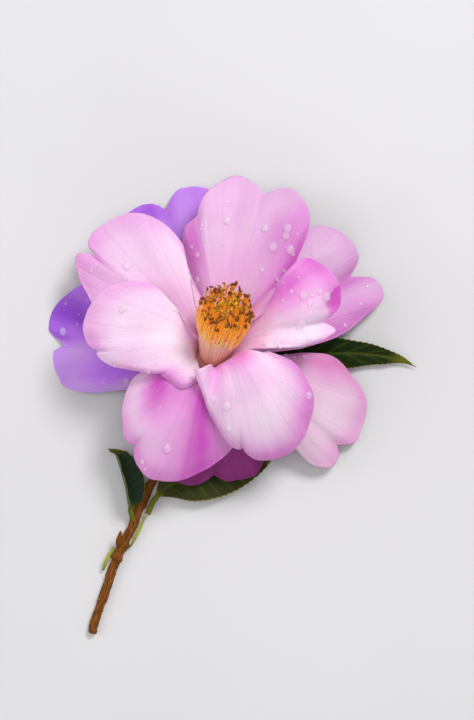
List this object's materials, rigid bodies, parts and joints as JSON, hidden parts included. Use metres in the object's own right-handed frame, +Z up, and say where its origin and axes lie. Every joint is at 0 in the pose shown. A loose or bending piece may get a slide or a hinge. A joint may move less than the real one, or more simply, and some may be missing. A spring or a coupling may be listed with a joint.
{
  "type": "camellia flower",
  "caption": "Open semi-double camellia on a short cut twig with leaves, lying face up on a surface.",
  "frame": {"origin": "on the surface it lies on, below the middle of its footprint", "axes": "+Z up off the surface, out of the flower's face; +Y from the cut end of the twig towards the flower; +X to the right seen from above"},
  "size_m": [0.1136, 0.1406, 0.0471],
  "materials": {
    "inner_petal": "soft satin petal",
    "outer_petal": "soft satin petal",
    "green_flesh": "smooth green",
    "stamen": "matte",
    "style": "smooth",
    "silky_scale": "silky hairs",
    "bark": "smooth thin bark",
    "leaf": "glossy leaf",
    "young_green": "smooth green"
  },
  "bodies": {
    "root": {"petal_top": "inner_petal", "petal_back_top": "outer_petal", "petal_upper_left": "inner_petal", "petal_left": "inner_petal", "petal_back_left": "outer_petal", "petal_lower_left": "inner_petal", "petal_front": "inner_petal", "petal_back_lower_right": "outer_petal", "petal_back_right": "outer_petal", "petal_curled": "inner_petal", "petal_back_bottom": "outer_petal", "receptacle": "green_flesh", "stamens": "stamen", "pistil": "style", "sepal_1": "silky_scale", "sepal_2": "silky_scale", "sepal_3": "silky_scale", "sepal_4": "silky_scale", "sepal_5": "silky_scale", "bract_1": "silky_scale", "bract_2": "silky_scale", "bract_3": "silky_scale", "twig": "bark", "stub": "bark", "leaf_right": "leaf", "leaf_lower": "leaf", "leaf_left": "leaf", "shoot": "young_green", "broken_stalk": "young_green"}
  },
  "joints": []
}
